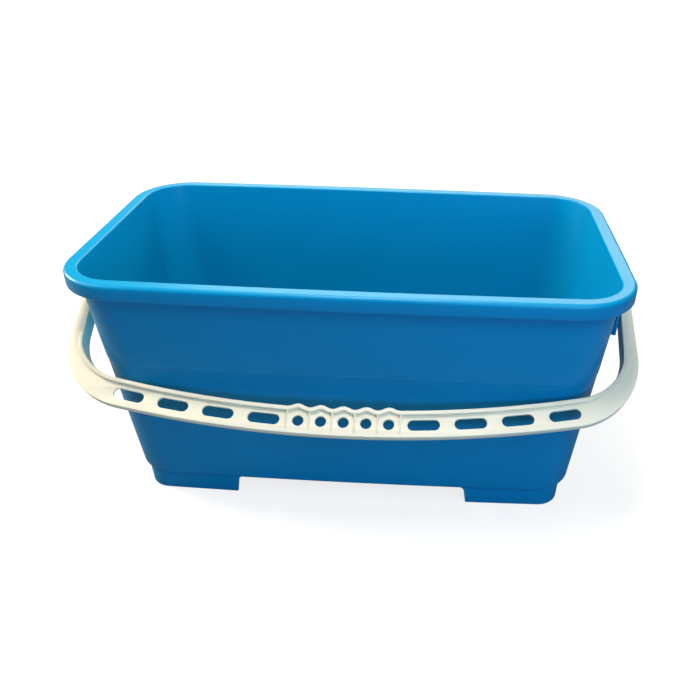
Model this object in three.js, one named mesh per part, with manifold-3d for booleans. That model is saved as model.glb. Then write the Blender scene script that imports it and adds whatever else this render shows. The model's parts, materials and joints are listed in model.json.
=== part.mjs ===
// Rectangular cleaning bucket: a thin moulded tub with a carrying handle that snaps into its two ends.
// Millimetres, +Z up. The origin is on the floor, under the middle of the bucket and its hanging handle.
// X runs along the tub, and -Y is the side over which the handle hangs.
import * as THREE from "three";
import { mergeVertices } from "three/addons/utils/BufferGeometryUtils.js";
import Module from "manifold-3d";

// Tub, overall
const rimLength = 500;
const rimDepth = 273.4;
const sideBow = 3.6;
const tubHeight = 243.4;
const rimCornerRadius = 54.6;

// Rim: a flat flange with a skirt that hangs from its outer edge
const rimOverhang = 11.4;
const skirtHeight = 13.8;
const skirtThickness = 2.6;
const flangeThickness = 2.8;
const rimOuterRound = 3.6;
const rimInnerRound = 1.6;
const underRimFillet = 2.4;

// Walls and floor
const wallThickness = 2;
const wallLean = 17.4;
const wallCornerRadius = 39;
const floorCornerRadius = 38.2;
const floorThickness = 2.6;
const bottomRound = 4.2;
const stepBelowEar = 18;
const stepDepth = 0.4;
const stepRise = 1.2;

// Feet: two low skirts, each one going round an end of the floor
const footHeight = 20.8;
const footInset = 2.8;
const footDraft = 0.8;
const footThickness = 3;
const footEdgeRound = 1.1;
const footSeat = 1.3;
const footGap = 236;
const footEndDraft = 3.2;
const footEndFillet = 4.5;

// Ears: a pocket at each end that carries the handle
const earWidth = 106;
const earDrop = 42;
const earPlate = 2.6;
const earSetBack = 0.3;
const earCornerRadius = 1.5;
const earGusset = 2.4;
const earRootShare = 0.5;
const earBossWall = 5.5;
const earBossHeight = 1.6;
const pivotDrop = 30.4;

// Handle, seen square to its own plane. It passes outside the rim as it swings.
const legClearance = 2.6;
const legWidth = 12.4;
const legTopWidth = 6.4;
const gripReach = 20.9;
const gripWidth = 24;
const gripInnerRadius = 1057;
const gripOuterRadius = 1130;
const cornerTightening = 3.1;
const cornerWidening = 22;

// Handle, heights square to its plane, from the pivot axis
const webFront = 6.5;
const webThickness = 2.6;
const legFlangeBack = -9.5;
const gripFlangeBack = -3.8;
const flangeFadeLength = 60;
const outerFlangeBack = -1;
const flangeWall = 2.6;
const lipHeight = 4.2;
const lipWidth = 3.8;
const lipFadeLength = 26;

// Grip: five round holes between six ribs, under a wavy lip
const gripHoles = 5;
const gripPitch = 20.3;
const gripHoleRadius = 4.7;
const gripHoleRise = 0.95;
const gripRib = 1.5;
const ribDrop = 0.5;
const ribEndHeight = 1;
const ribEndGap = 4;
const waveHeight = 3;

// Slots beside the grip
const slotsPerSide = 4;
const slotLength = 28.9;
const slotWidth = 10;
const slotBridge = 12.9;
const slotEndGap = 6.45;
const slotLineDrop = 0.4;

// Pivots
const studRadius = 6.6;
const eyeShoulder = 2.4;
const legRootHeight = 3;
const studHeadLip = 1.2;
const studHeadLength = 4.6;
const studHeadShare = 1 / 3;
const studSlit = 2;
const studSlitDepth = 7;
const studClearance = 0.4;
const restClearance = 0.4;

// Fineness of the round forms
const cornerSteps = 12;
const longSideSteps = 12;
const endSideSteps = 2;
const roundSteps = 4;
const arcSteps = 14;
const gripSteps = 24;
const holeSteps = 20;
const leanTries = 30;
const waveSteps = 8;
const cutOverrun = 3;
const weldDistance = 0.0001;

// Colours
const tubBlue = 0x0a74c4;
const handleCream = 0xeee6d2;
const tubRoughness = 0.38;
const handleRoughness = 0.5;

const wasm = await Module();
wasm.setup();

const halfTurn = Math.PI;
const quarterTurn = Math.PI / 2;
const lerp = (a, b, t) => a + (b - a) * t;

// Solids for joining and cutting, and back

function toSolid(geometry) {
  const bare = geometry.clone();
  bare.deleteAttribute("normal");
  bare.deleteAttribute("uv");
  const welded = mergeVertices(bare.index ? bare.toNonIndexed() : bare, weldDistance);
  const mesh = new wasm.Mesh({
    numProp: 3,
    vertProperties: Float32Array.from(welded.attributes.position.array),
    triVerts: Uint32Array.from(welded.index.array),
  });
  return new wasm.Manifold(mesh);
}

function toGeometry(solid) {
  const mesh = solid.getMesh();
  const geometry = new THREE.BufferGeometry();
  geometry.setAttribute("position", new THREE.BufferAttribute(new Float32Array(mesh.vertProperties), 3));
  geometry.setIndex(new THREE.BufferAttribute(new Uint32Array(mesh.triVerts), 1));
  geometry.computeVertexNormals();
  return geometry;
}

const joinAll = (solids) => solids.reduce((whole, solid) => whole.add(solid));

// Rings of points, and the closed skins between them

function signedVolume(points, triangles) {
  let volume = 0;
  for (let i = 0; i < triangles.length; i += 3) {
    const [a, b, c] = [0, 1, 2].map((k) => points[triangles[i + k]]);
    volume += a.dot(new THREE.Vector3().crossVectors(b, c));
  }
  return volume;
}

function closedGeometry(points, triangles) {
  const turned = signedVolume(points, triangles) < 0;
  const order = turned ? triangles.map((_, i) => triangles[i - (i % 3) + ((3 - (i % 3)) % 3)]) : triangles;
  const geometry = new THREE.BufferGeometry().setFromPoints(points);
  geometry.setIndex(order);
  return geometry;
}

function loft(rings, closedLoop = false) {
  const size = rings[0].length;
  const points = rings.flat();
  const triangles = [];
  const spans = closedLoop ? rings.length : rings.length - 1;
  for (let r = 0; r < spans; r++) {
    const here = r * size;
    const next = ((r + 1) % rings.length) * size;
    for (let i = 0; i < size; i++) {
      const j = (i + 1) % size;
      triangles.push(here + i, here + j, next + j, here + i, next + j, next + i);
    }
  }
  if (!closedLoop) {
    const last = (rings.length - 1) * size;
    for (const [start, ring, flip] of [[0, rings[0], true], [last, rings[rings.length - 1], false]]) {
      const sum = ring.reduce((total, point) => total.add(point), new THREE.Vector3());
      points.push(sum.divideScalar(size));
      for (let i = 0; i < size; i++) {
        const pair = [start + i, start + ((i + 1) % size)];
        if (flip) pair.reverse();
        triangles.push(points.length - 1, ...pair);
      }
    }
  }
  return closedGeometry(points, triangles);
}

// Points along an arc, from angle `from` to angle `to`
function arc(centreX, centreY, radius, from, to, steps) {
  return Array.from({ length: steps + 1 }, (_, i) => {
    const angle = lerp(from, to, i / steps);
    return new THREE.Vector2(centreX + radius * Math.cos(angle), centreY + radius * Math.sin(angle));
  });
}

// A rounded rectangle at height z, set in from the rim's outer edge, with bowed long sides
function tubRing(inset, z, cornerRadius) {
  const halfLength = rimLength / 2 - inset;
  const halfDepth = rimDepth / 2 - inset;
  const cornerX = halfLength - cornerRadius;
  const cornerY = halfDepth - cornerRadius;
  const outline = [];
  const corners = [[1, 1], [-1, 1], [-1, -1], [1, -1]];
  corners.forEach(([sx, sy], quarter) => {
    const start = quarter * quarterTurn;
    outline.push(...arc(sx * cornerX, sy * cornerY, cornerRadius, start, start + quarterTurn, cornerSteps));
    const steps = quarter % 2 ? endSideSteps : longSideSteps;
    const from = outline[outline.length - 1];
    const [nextX, nextY] = corners[(quarter + 1) % corners.length];
    const turn = start + quarterTurn;
    const to = new THREE.Vector2(
      nextX * cornerX + cornerRadius * Math.cos(turn),
      nextY * cornerY + cornerRadius * Math.sin(turn),
    );
    for (let i = 1; i < steps; i++) outline.push(from.clone().lerp(to, i / steps));
  });
  return outline.map(({ x, y }) => {
    const bow = sideBow * (1 - (x / halfLength) ** 2) * (y / halfDepth);
    return new THREE.Vector3(x, y + bow, z);
  });
}

// Tub

const rimTop = tubHeight;
const pivotHeight = rimTop - pivotDrop;
const earBottom = pivotHeight - earDrop;
const stepHeight = earBottom - stepBelowEar;
const boreRadius = studRadius + studClearance;
const skirtBottom = rimTop - skirtHeight;
const floorUnder = footHeight;
const floorTop = floorUnder + floorThickness;

// How far the wall lies in from the rim's outer edge at height z
const leanInset = (z) => rimOverhang + (wallLean * (rimTop - z)) / (rimTop - floorUnder);

// The same for its outside, which is stepped: the wall is thinner below stepHeight
function wallInset(z) {
  const stepSide = z > stepHeight ? -1 : 1;
  return leanInset(z) + (stepSide * stepDepth) / 2;
}

function wallCorner(z) {
  const share = (z - floorUnder) / (rimTop - floorUnder);
  return lerp(floorCornerRadius, wallCornerRadius, share);
}

const outerWallRing = (z, extra = 0) => tubRing(wallInset(z) + extra, z, wallCorner(z) - extra);

function innerWallRing(z, extra = 0) {
  const inset = leanInset(z) + wallThickness + extra;
  return tubRing(inset, z, wallCorner(z) - wallThickness - extra);
}

// The rim's outer edge has rounder corners than its inner edge, which goes on into the wall
const rimRing = (inset, z) => tubRing(inset, z, rimCornerRadius - inset);
const innerRimRing = (inset, z) => tubRing(inset, z, wallCornerRadius + rimOverhang - inset);

// Rings round a lower edge, from the flat underneath at height z up to the upright wall
function roundedEdge(ringAt, z, radius) {
  const rings = [];
  for (let i = 0; i <= roundSteps; i++) {
    const angle = (i / roundSteps) * quarterTurn;
    const rise = radius * (1 - Math.cos(angle));
    rings.push(ringAt(z + rise, radius * (1 - Math.sin(angle))));
  }
  return rings;
}

function tubShell() {
  const rings = [...roundedEdge(outerWallRing, floorUnder, bottomRound)];
  rings.push(outerWallRing(stepHeight), outerWallRing(stepHeight + stepRise));
  const underFlange = rimTop - flangeThickness;
  rings.push(outerWallRing(underFlange - underRimFillet));
  rings.push(innerRimRing(rimOverhang - underRimFillet, underFlange));
  rings.push(rimRing(skirtThickness, underFlange));
  rings.push(rimRing(skirtThickness, skirtBottom));
  rings.push(rimRing(0, skirtBottom));
  for (let i = 0; i <= roundSteps; i++) {
    const angle = (i / roundSteps) * quarterTurn;
    const inset = rimOuterRound * (1 - Math.cos(angle));
    rings.push(rimRing(inset, rimTop - rimOuterRound * (1 - Math.sin(angle))));
  }
  const rimInner = rimOverhang + wallThickness;
  for (let i = 0; i <= roundSteps; i++) {
    const angle = (i / roundSteps) * quarterTurn;
    const inset = rimInner - rimInnerRound * (1 - Math.sin(angle));
    rings.push(innerRimRing(inset, rimTop - rimInnerRound * (1 - Math.cos(angle))));
  }
  rings.push(innerWallRing(stepHeight));
  rings.push(...roundedEdge(innerWallRing, floorTop, bottomRound).reverse());
  return toSolid(loft(rings));
}

// One endless foot skirt, from which the gap in both long sides is then cut
function feet() {
  const insetTop = wallInset(floorUnder) + footInset;
  const corner = (inset) => floorCornerRadius - (inset - wallInset(floorUnder));
  const footRing = (inset, z) => tubRing(inset, z, corner(inset));
  const seat = floorUnder + footSeat;
  const insetLow = insetTop + footDraft;
  const skirt = toSolid(loft([
    footRing(insetTop, seat),
    footRing(insetLow, footEdgeRound),
    footRing(insetLow + footEdgeRound, 0),
    footRing(insetLow + footThickness, 0),
    footRing(insetTop + footThickness, seat),
  ], true));
  const halfGap = footGap / 2;
  const filletFoot = floorUnder - footEndFillet;
  const draftAtFillet = (footEndDraft * filletFoot) / floorUnder;
  const side = halfGap - draftAtFillet;
  const outline = new THREE.Shape();
  outline.moveTo(-halfGap, -cutOverrun);
  outline.lineTo(-halfGap, 0);
  outline.lineTo(-side, filletFoot);
  const filletX = side - footEndFillet;
  const drawTo = (p) => outline.lineTo(p.x, p.y);
  arc(-filletX, filletFoot, footEndFillet, halfTurn, quarterTurn, roundSteps).forEach(drawTo);
  outline.lineTo(-filletX, seat + cutOverrun);
  outline.lineTo(filletX, seat + cutOverrun);
  arc(filletX, filletFoot, footEndFillet, quarterTurn, 0, roundSteps).forEach(drawTo);
  outline.lineTo(halfGap, 0);
  outline.lineTo(halfGap, -cutOverrun);
  const through = rimDepth + 2 * sideBow;
  const cutter = new THREE.ExtrudeGeometry(outline, { depth: through, bevelEnabled: false });
  cutter.rotateX(quarterTurn);
  cutter.translate(0, through / 2, 0);
  return skirt.subtract(toSolid(cutter));
}

// The pocket at the +X end. Its plate carries on the line of the rim's skirt downwards.
function ear() {
  const outerFace = rimLength / 2 - earSetBack;
  const plateInner = outerFace - earPlate;
  const plateTop = rimTop - flangeThickness;
  const half = earWidth / 2;
  const outline = new THREE.Shape();
  const cornerY = half - earCornerRadius;
  const cornerZ = earBottom + earCornerRadius;
  const drawTo = (p) => outline.lineTo(p.x, p.y);
  outline.moveTo(-half, plateTop);
  arc(-cornerY, cornerZ, earCornerRadius, halfTurn, halfTurn + quarterTurn, roundSteps).forEach(drawTo);
  arc(cornerY, cornerZ, earCornerRadius, -quarterTurn, 0, roundSteps).forEach(drawTo);
  outline.lineTo(half, plateTop);
  const plate = new THREE.ExtrudeGeometry(outline, { depth: earPlate, bevelEnabled: false });
  plate.rotateX(quarterTurn);
  plate.rotateZ(quarterTurn);
  plate.translate(plateInner, 0, 0);
  const rootX = (z) => rimLength / 2 - wallInset(z) - wallThickness * earRootShare;
  const gussets = [-1, 1].map((side) => {
    const profile = new THREE.Shape();
    const outer = plateInner + earPlate / 2;
    profile.moveTo(rootX(earBottom), earBottom);
    profile.lineTo(outer, earBottom);
    profile.lineTo(outer, plateTop);
    profile.lineTo(rootX(plateTop), plateTop);
    const gusset = new THREE.ExtrudeGeometry(profile, { depth: earGusset, bevelEnabled: false });
    gusset.rotateX(quarterTurn);
    gusset.translate(0, side * cornerY + (side < 0 ? earGusset : 0), 0);
    return toSolid(gusset);
  });
  const earBossRadius = boreRadius + earBossWall;
  const bossLength = earBossHeight + earPlate / 2;
  const boss = alongX(new THREE.CylinderGeometry(earBossRadius, earBossRadius, bossLength, holeSteps));
  boss.translate(plateInner + (earPlate / 2 - earBossHeight) / 2, 0, pivotHeight);
  const boreLength = 2 * (earPlate + earBossHeight) + cutOverrun;
  const bore = alongX(new THREE.CylinderGeometry(boreRadius, boreRadius, boreLength, holeSteps));
  bore.translate(plateInner, 0, pivotHeight);
  return joinAll([toSolid(plate), ...gussets, toSolid(boss)]).subtract(toSolid(bore));
}

function alongX(geometry) {
  geometry.rotateZ(-quarterTurn);
  return geometry;
}

function tubGeometry() {
  const rightEar = ear();
  const leftEar = rightEar.mirror([1, 0, 0]);
  return toGeometry(joinAll([tubShell(), feet(), rightEar, leftEar]));
}

// Handle, drawn in its own plane: x across, y up towards the pivots, z out of its front face

// Half of an edge of the handle: down a leg, round the corner and along the grip to the middle.
// The leg is a straight line that touches the corner's arc.
function handleEdge(topHalfWidth, cornerHalfWidth, cornerRadius, gripDepth, gripRadius) {
  const gripCentre = gripRadius - gripDepth;
  const cornerX = cornerHalfWidth - cornerRadius;
  const reach = gripRadius - cornerRadius;
  const cornerY = gripCentre - Math.sqrt(reach ** 2 - cornerX ** 2);
  const meet = Math.atan2(cornerY - gripCentre, cornerX);
  const top = new THREE.Vector2(topHalfWidth, legRootHeight);
  const fromCentre = new THREE.Vector2(topHalfWidth - cornerX, legRootHeight - cornerY);
  const touch = Math.atan2(fromCentre.y, fromCentre.x) - Math.acos(cornerRadius / fromCentre.length());
  const corner = arc(cornerX, cornerY, cornerRadius, touch, meet, arcSteps);
  const grip = arc(0, gripCentre, gripRadius, meet, -quarterTurn, gripSteps);
  return [top, top.clone().lerp(corner[0], 1 / 2), ...corner, ...grip.slice(1)];
}

function mirrored(half) {
  const otherHalf = half.slice(0, -1).reverse().map((p) => new THREE.Vector2(-p.x, p.y));
  return [...half, ...otherHalf];
}

// The lip rises to a peak over each hole of the grip
function waveRise(x) {
  if (Math.abs(x) > gripHalfLength) return 0;
  const share = Math.abs(((x / gripPitch + gripHoles / 2) % 1) - 1 / 2) * 2;
  return waveHeight * Math.cos((share * halfTurn) / 2) ** 2;
}

// The grip's own two arcs, as heights over x
const innerLine = (x) => gripInnerRadius - gripInnerDepth - Math.sqrt(gripInnerRadius ** 2 - x ** 2);
const outerLine = (x) => gripOuterRadius - gripOuterDepth - Math.sqrt(gripOuterRadius ** 2 - x ** 2);

function withWave(edge) {
  const right = edge.filter((p) => p.x > gripHalfLength);
  const left = edge.filter((p) => p.x < -gripHalfLength);
  const steps = gripHoles * waveSteps;
  const middle = Array.from({ length: steps + 1 }, (_, i) => {
    const x = lerp(gripHalfLength, -gripHalfLength, i / steps);
    return new THREE.Vector2(x, innerLine(x) + waveRise(x));
  });
  return [...right, ...middle, ...left];
}

const legInnerHalfWidth = rimLength / 2 + legClearance;
const legOuterHalfWidth = legInnerHalfWidth + legWidth;
const legTopHalfWidth = legInnerHalfWidth + legTopWidth;
const gripInnerDepth = rimDepth / 2 + sideBow + gripReach;
const gripOuterDepth = gripInnerDepth + gripWidth;
const gripMiddleDepth = (gripInnerDepth + gripOuterDepth) / 2;
const gripHalfLength = (gripHoles * gripPitch) / 2;
const innerCornerRadius = rimCornerRadius - cornerTightening;
const outerCornerRadius = innerCornerRadius + cornerWidening;

const innerHalf = handleEdge(
  legInnerHalfWidth, legInnerHalfWidth, innerCornerRadius, gripInnerDepth, gripInnerRadius,
);
const outerHalf = handleEdge(
  legTopHalfWidth, legOuterHalfWidth, outerCornerRadius, gripOuterDepth, gripOuterRadius,
);
const innerEdge = withWave(mirrored(innerHalf));
const outerEdge = mirrored(outerHalf);

// How far each point of an edge lies from the nearer pivot, along the edge
function endDistances(edge) {
  const lengths = [0];
  for (let i = 1; i < edge.length; i++) lengths.push(lengths[i - 1] + edge[i].distanceTo(edge[i - 1]));
  const total = lengths[lengths.length - 1];
  return lengths.map((length) => Math.min(length, total - length));
}

// A wall that follows an edge: `side` is +1 for a wall on the far side of the edge from the pivots
function edgeWall(edge, side, width, backAt, frontAt) {
  const distances = endDistances(edge);
  const rings = edge.map((point, i) => {
    const before = edge[Math.max(i - 1, 0)];
    const after = edge[Math.min(i + 1, edge.length - 1)];
    const along = after.clone().sub(before).normalize();
    const out = new THREE.Vector2(-along.y, along.x).multiplyScalar(-side);
    const far = point.clone().addScaledVector(out, -width);
    const [back, front] = [backAt(distances[i]), frontAt(distances[i])];
    return [
      new THREE.Vector3(point.x, point.y, back),
      new THREE.Vector3(point.x, point.y, front),
      new THREE.Vector3(far.x, far.y, front),
      new THREE.Vector3(far.x, far.y, back),
    ];
  });
  return toSolid(loft(rings));
}

// The lip stands up beside the grip and the corners, and fades out at the legs
const legLength = Math.abs(innerHalf[2].y);

function lipFront(fromEnd) {
  const share = THREE.MathUtils.smoothstep(fromEnd, legLength, legLength + lipFadeLength);
  return webFront + lipHeight * share;
}

// Behind the web, the inner flange is deep along the legs and shallow along the grip
function innerFlangeBack(fromEnd) {
  const share = THREE.MathUtils.smoothstep(fromEnd, legLength, legLength + flangeFadeLength);
  return lerp(legFlangeBack, gripFlangeBack, share);
}

function slotHole(x) {
  const lineDepth = gripMiddleDepth + slotLineDrop;
  const lineRadius = (gripInnerRadius + gripOuterRadius) / 2;
  const y = lineRadius - lineDepth - Math.sqrt(lineRadius ** 2 - x ** 2);
  const tilt = Math.asin(x / lineRadius);
  const r = slotWidth / 2;
  const straight = slotLength / 2 - r;
  const hole = new THREE.Shape();
  const rim = [
    ...arc(straight, 0, r, -quarterTurn, quarterTurn, arcSteps),
    ...arc(-straight, 0, r, quarterTurn, quarterTurn + halfTurn, arcSteps),
  ];
  hole.setFromPoints(rim);
  const depth = webThickness + 2 * cutOverrun;
  const cutter = new THREE.ExtrudeGeometry(hole, { depth, bevelEnabled: false });
  cutter.rotateZ(tilt);
  cutter.translate(x, y, webFront - webThickness - cutOverrun);
  return toSolid(cutter);
}

function web() {
  const outline = new THREE.Shape();
  outline.setFromPoints([...outerEdge, ...innerEdge.slice().reverse()]);
  const plate = new THREE.ExtrudeGeometry(outline, { depth: webThickness, bevelEnabled: false });
  plate.translate(0, 0, webFront - webThickness);
  const holes = [];
  for (let i = 0; i < slotsPerSide; i++) {
    const place = gripHalfLength + slotEndGap + slotLength / 2 + i * (slotLength + slotBridge);
    holes.push(slotHole(place), slotHole(-place));
  }
  const holeLength = webThickness + 2 * cutOverrun;
  for (let i = 0; i < gripHoles; i++) {
    const hole = new THREE.CylinderGeometry(gripHoleRadius, gripHoleRadius, holeLength, holeSteps);
    hole.rotateX(quarterTurn);
    const x = (i - (gripHoles - 1) / 2) * gripPitch;
    hole.translate(x, gripHoleRise - gripMiddleDepth, webFront - webThickness / 2);
    holes.push(toSolid(hole));
  }
  return toSolid(plate).subtract(joinAll(holes));
}

// Ribs across the grip, which slope down from the wavy lip and end short of the outer edge
function gripRibs() {
  const ribs = [];
  const root = webFront - webThickness / 2;
  for (let i = 0; i <= gripHoles; i++) {
    const x = (i - gripHoles / 2) * gripPitch;
    const [start, end] = [innerLine(x) - lipWidth / 2, outerLine(x) + ribEndGap];
    const profile = new THREE.Shape();
    profile.moveTo(root, start);
    profile.lineTo(root, end);
    profile.lineTo(webFront + ribEndHeight, end);
    profile.lineTo(webFront + lipHeight - ribDrop, start);
    const rib = new THREE.ExtrudeGeometry(profile, { depth: gripRib, bevelEnabled: false });
    rib.rotateY(-quarterTurn);
    rib.translate(x + gripRib / 2, 0, 0);
    ribs.push(toSolid(rib));
  }
  return joinAll(ribs);
}

// The round end of the +X leg, turned in one piece with the split stud that snaps into the ear
function pivotEnd() {
  const earFace = rimLength / 2 - earSetBack;
  const shoulderX = earFace + studClearance;
  const earInside = earFace - earPlate - earBossHeight - studClearance;
  const headEnd = earInside - studHeadLength;
  const eyeRadius = studRadius + eyeShoulder;
  const studHeadRadius = studRadius + studHeadLip;
  const profile = [
    new THREE.Vector2(0, legTopHalfWidth),
    new THREE.Vector2(eyeRadius, legTopHalfWidth),
    new THREE.Vector2(eyeRadius, shoulderX),
    new THREE.Vector2(studRadius, shoulderX),
    new THREE.Vector2(studRadius, earInside),
    new THREE.Vector2(studHeadRadius, earInside),
    new THREE.Vector2(studHeadRadius, lerp(earInside, headEnd, studHeadShare)),
    new THREE.Vector2(studRadius, headEnd),
    new THREE.Vector2(0, headEnd),
  ];
  const stud = alongX(new THREE.LatheGeometry(profile.reverse(), holeSteps));
  const slit = new THREE.BoxGeometry(studSlitDepth + cutOverrun, studSlit, 2 * studHeadRadius + cutOverrun);
  slit.translate(headEnd + (studSlitDepth - cutOverrun) / 2, 0, 0);
  return toSolid(stud).subtract(toSolid(slit));
}

function handleGeometry() {
  const midWeb = () => webFront - webThickness / 2;
  const innerFlange = edgeWall(innerEdge, 1, flangeWall, innerFlangeBack, midWeb);
  const innerLip = edgeWall(innerEdge, 1, lipWidth, midWeb, lipFront);
  const outerFlange = edgeWall(outerEdge, -1, flangeWall, () => outerFlangeBack, midWeb);
  const rightEnd = pivotEnd();
  const leftEnd = rightEnd.mirror([1, 0, 0]);
  const edges = [innerFlange, innerLip, outerFlange];
  return toGeometry(joinAll([web(), ...edges, gripRibs(), rightEnd, leftEnd]));
}

// How far the outside of the front wall stands out from the middle of the tub
function wallFace(x, z) {
  const halfLength = rimLength / 2 - wallInset(z);
  const halfDepth = rimDepth / 2 - wallInset(z);
  const radius = wallCorner(z);
  const overCorner = Math.max(Math.abs(x) - (halfLength - radius), 0);
  if (overCorner >= radius) return 0;
  const flat = halfDepth - radius + Math.sqrt(radius ** 2 - overCorner ** 2);
  return flat + sideBow * (1 - (x / halfLength) ** 2) * (flat / halfDepth);
}

// The handle hangs at the least lean from upright at which its inner edge is clear of the front wall
function restLean() {
  const backs = endDistances(innerEdge).map(innerFlangeBack);
  const isClear = (lean) => innerEdge.every(({ x, y }, i) => {
    const out = backs[i] * Math.cos(lean) - y * Math.sin(lean);
    const z = pivotHeight + y * Math.cos(lean) + backs[i] * Math.sin(lean);
    return y > -innerCornerRadius || out > wallFace(x, z) + restClearance;
  });
  let [touching, clear] = [0, quarterTurn];
  for (let i = 0; i < leanTries; i++) {
    const lean = (touching + clear) / 2;
    if (isClear(lean)) clear = lean;
    else touching = lean;
  }
  return clear;
}

// The two pieces, in their places

const tub = new THREE.Mesh(
  tubGeometry(),
  new THREE.MeshStandardMaterial({ color: tubBlue, roughness: tubRoughness, metalness: 0 }),
);
tub.name = "tub";

const handle = new THREE.Mesh(
  handleGeometry(),
  new THREE.MeshStandardMaterial({ color: handleCream, roughness: handleRoughness, metalness: 0 }),
);
handle.name = "handle";
handle.position.z = pivotHeight;
handle.rotation.x = quarterTurn - restLean();

const bucket = new THREE.Group();
bucket.name = "bucket";
bucket.add(tub, handle);

// The origin lies under the middle of the whole bucket, with its handle hanging down in front
const bounds = new THREE.Box3().setFromObject(bucket, true);
bucket.position.y = -bounds.getCenter(new THREE.Vector3()).y;

export default bucket;
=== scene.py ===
"""The looks of a rectangular cleaning bucket: a blue tub with a cream handle, on a pale floor."""

import json
import math

import bmesh
import bpy
from mathutils import Matrix, Vector


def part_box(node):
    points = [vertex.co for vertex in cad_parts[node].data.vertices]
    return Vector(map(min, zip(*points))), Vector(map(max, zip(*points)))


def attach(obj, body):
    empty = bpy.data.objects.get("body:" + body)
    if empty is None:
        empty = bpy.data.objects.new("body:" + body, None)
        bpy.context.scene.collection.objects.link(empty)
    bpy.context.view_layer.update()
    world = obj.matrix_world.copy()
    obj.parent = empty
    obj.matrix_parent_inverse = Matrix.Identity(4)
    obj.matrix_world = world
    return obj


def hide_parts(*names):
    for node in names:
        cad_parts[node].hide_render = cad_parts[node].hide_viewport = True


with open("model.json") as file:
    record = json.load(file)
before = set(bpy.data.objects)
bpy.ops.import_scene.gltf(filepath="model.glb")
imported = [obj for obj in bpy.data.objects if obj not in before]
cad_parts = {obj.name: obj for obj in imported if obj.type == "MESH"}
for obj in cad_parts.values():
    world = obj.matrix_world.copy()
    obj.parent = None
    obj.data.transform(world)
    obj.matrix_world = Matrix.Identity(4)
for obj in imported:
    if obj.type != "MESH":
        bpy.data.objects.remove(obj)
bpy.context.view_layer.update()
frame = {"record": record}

# Camera, worked out from the edges of the rim, walls and feet in the photograph
IMAGE_SIDE = 700
FOCAL_PIXELS = 737.0
SENSOR_MM = 36.0
PRINCIPAL_PIXELS = (51.9, 35.05)
CAMERA_FROM_TUB = (0.07437, -0.67482, 0.51062)
CAMERA_YAW = -0.043
CAMERA_PITCH = 0.578
CAMERA_ROLL = 0.021
CLIP_START = 0.01

# Finish: colours as linear values, and how much they and the roughness vary
TUB_BLUE = (0.0, 0.225, 0.46)
TUB_BLUE_WORN = (0.02, 0.29, 0.6)
HANDLE_CREAM = (0.88, 0.79, 0.6)
HANDLE_CREAM_SOILED = (0.70, 0.62, 0.48)
FLOOR_GREY = (0.24, 0.24, 0.24)
MOTTLE_SHARE = 0.06
ROUGHNESS_SPREAD = 0.05
WEAR_PATCH_RANGE = (0.35, 0.65)
PLASTIC_IOR = 1.49

# Stage, in metres. The camera sees the floor as pale grey round the bucket, where its shadow lies,
# and as white further off.
FLOOR_HALF_WIDTH = 8.0
FLOOR_LIFT = 0.8
SHADOW_REACH = 0.35
WHITE_REACH = 0.75
WORLD_STRENGTH = 0.12

# Lamps: name, place in metres, strength, colour, width, and the height of one that is no disk.
# The strength is how brightly a lamp lights a white surface at the bucket that faces it.
LAMP_TARGET = (0, 0, 0.15)
LAMPS = [
    ("ceiling", (0, 0.12, 1.2), 0.62, (1.0, 0.98, 0.66), 0.4),
    ("overhead", (-0.05, -0.24, 1.05), 0.55, (1.0, 0.96, 0.88), 0.25),
    ("left", (-0.8, -0.12, 0.95), 0.24, (1.0, 0.88, 0.62), 0.3),
    ("low left", (-1.2, 0.25, 0.62), 0.88, (1.0, 0.98, 0.94), 0.4),
    ("right", (0.45, -0.7, 0.9), 0.25, (0.85, 0.93, 1.0), 0.4),
    ("front", (0.5, -1.15, 0.42), 0.39, (0.22, 0.56, 1.0), 0.4),
    ("behind", (0.1, 1.3, 0.92), 0.62, (1.0, 0.96, 0.84), 1.6, 0.55),
]

# Every length below is in millimetres, and the meshes are scaled to metres as they are made
METRES = 0.001

# Tub: rim and walls
RIM_LENGTH = 500.0
RIM_DEPTH = 273.4
SIDE_BOW = 3.6
RIM_TOP = 243.4
RIM_CORNER = 54.6
RIM_OVERHANG = 11.4
SKIRT_HEIGHT = 13.8
SKIRT_THICKNESS = 2.6
FLANGE_THICKNESS = 2.8
RIM_OUTER_ROUND = 3.6
RIM_INNER_ROUND = 1.6
RIM_OUTER_FLAT = 1.08
RIM_INNER_FLAT = 0.96
UNDER_RIM_FILLET = 2.4
SKIRT_EDGE_ROUND = 0.9
WALL_THICKNESS = 2.0
WALL_LEAN = 17.4
WALL_CORNER = 39.0
FLOOR_CORNER = 38.2
FLOOR_THICKNESS = 2.6
BOTTOM_ROUND = 4.2
STEP_HEIGHT = 153.0
STEP_DEPTH = 0.4
STEP_RISE = 1.6

# Feet
FOOT_HEIGHT = 20.8
FOOT_INSET = 2.8
FOOT_END_INSET = 6.2
FOOT_CORNER = 22.0
FOOT_DRAFT = 0.8
FOOT_THICKNESS = 3.0
FOOT_EDGE_ROUND = 1.1
FOOT_SEAT = 1.3
FOOT_GAP = 234.0
FOOT_END_DRAFT = 3.2
FOOT_END_FILLET = 5.5

# Ears
EAR_WIDTH = 106.0
EAR_BOTTOM = 171.0
EAR_PLATE = 2.6
EAR_SET_BACK = 0.3
EAR_CORNER = 1.5
EAR_GUSSET = 2.4
EAR_BOSS_RADIUS = 12.5
EAR_BOSS_HEIGHT = 1.6
EAR_BORE_RADIUS = 7.0
EAR_BOSS_BORE_RADIUS = 7.1

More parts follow.
